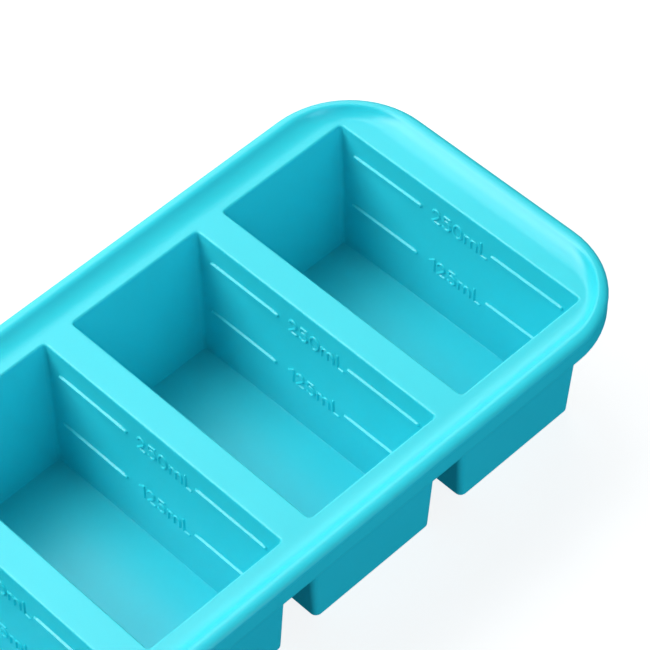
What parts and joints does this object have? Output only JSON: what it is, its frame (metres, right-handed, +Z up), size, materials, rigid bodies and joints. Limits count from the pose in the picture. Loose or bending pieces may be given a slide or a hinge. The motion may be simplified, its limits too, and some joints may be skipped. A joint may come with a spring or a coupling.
{
  "type": "silicone mould",
  "caption": "Flexible mould with a row of deep rectangular pockets, raised fill lines and a stiffened lipped rim.",
  "frame": {"origin": "on the surface the mould stands on, under the middle of its outline", "axes": "+X along the row of pockets, +Y across the row, +Z up out of the pocket mouths"},
  "size_m": [0.293, 0.14, 0.0618],
  "materials": {
    "silicone": "satin moulded silicone, turquoise",
    "steel_wire": "drawn stainless wire"
  },
  "bodies": {
    "root": {"rim_flange": "silicone", "pocket_1": "silicone", "pocket_2": "silicone", "pocket_3": "silicone", "pocket_4": "silicone", "rim_steel_frame": "steel_wire"}
  },
  "joints": []
}
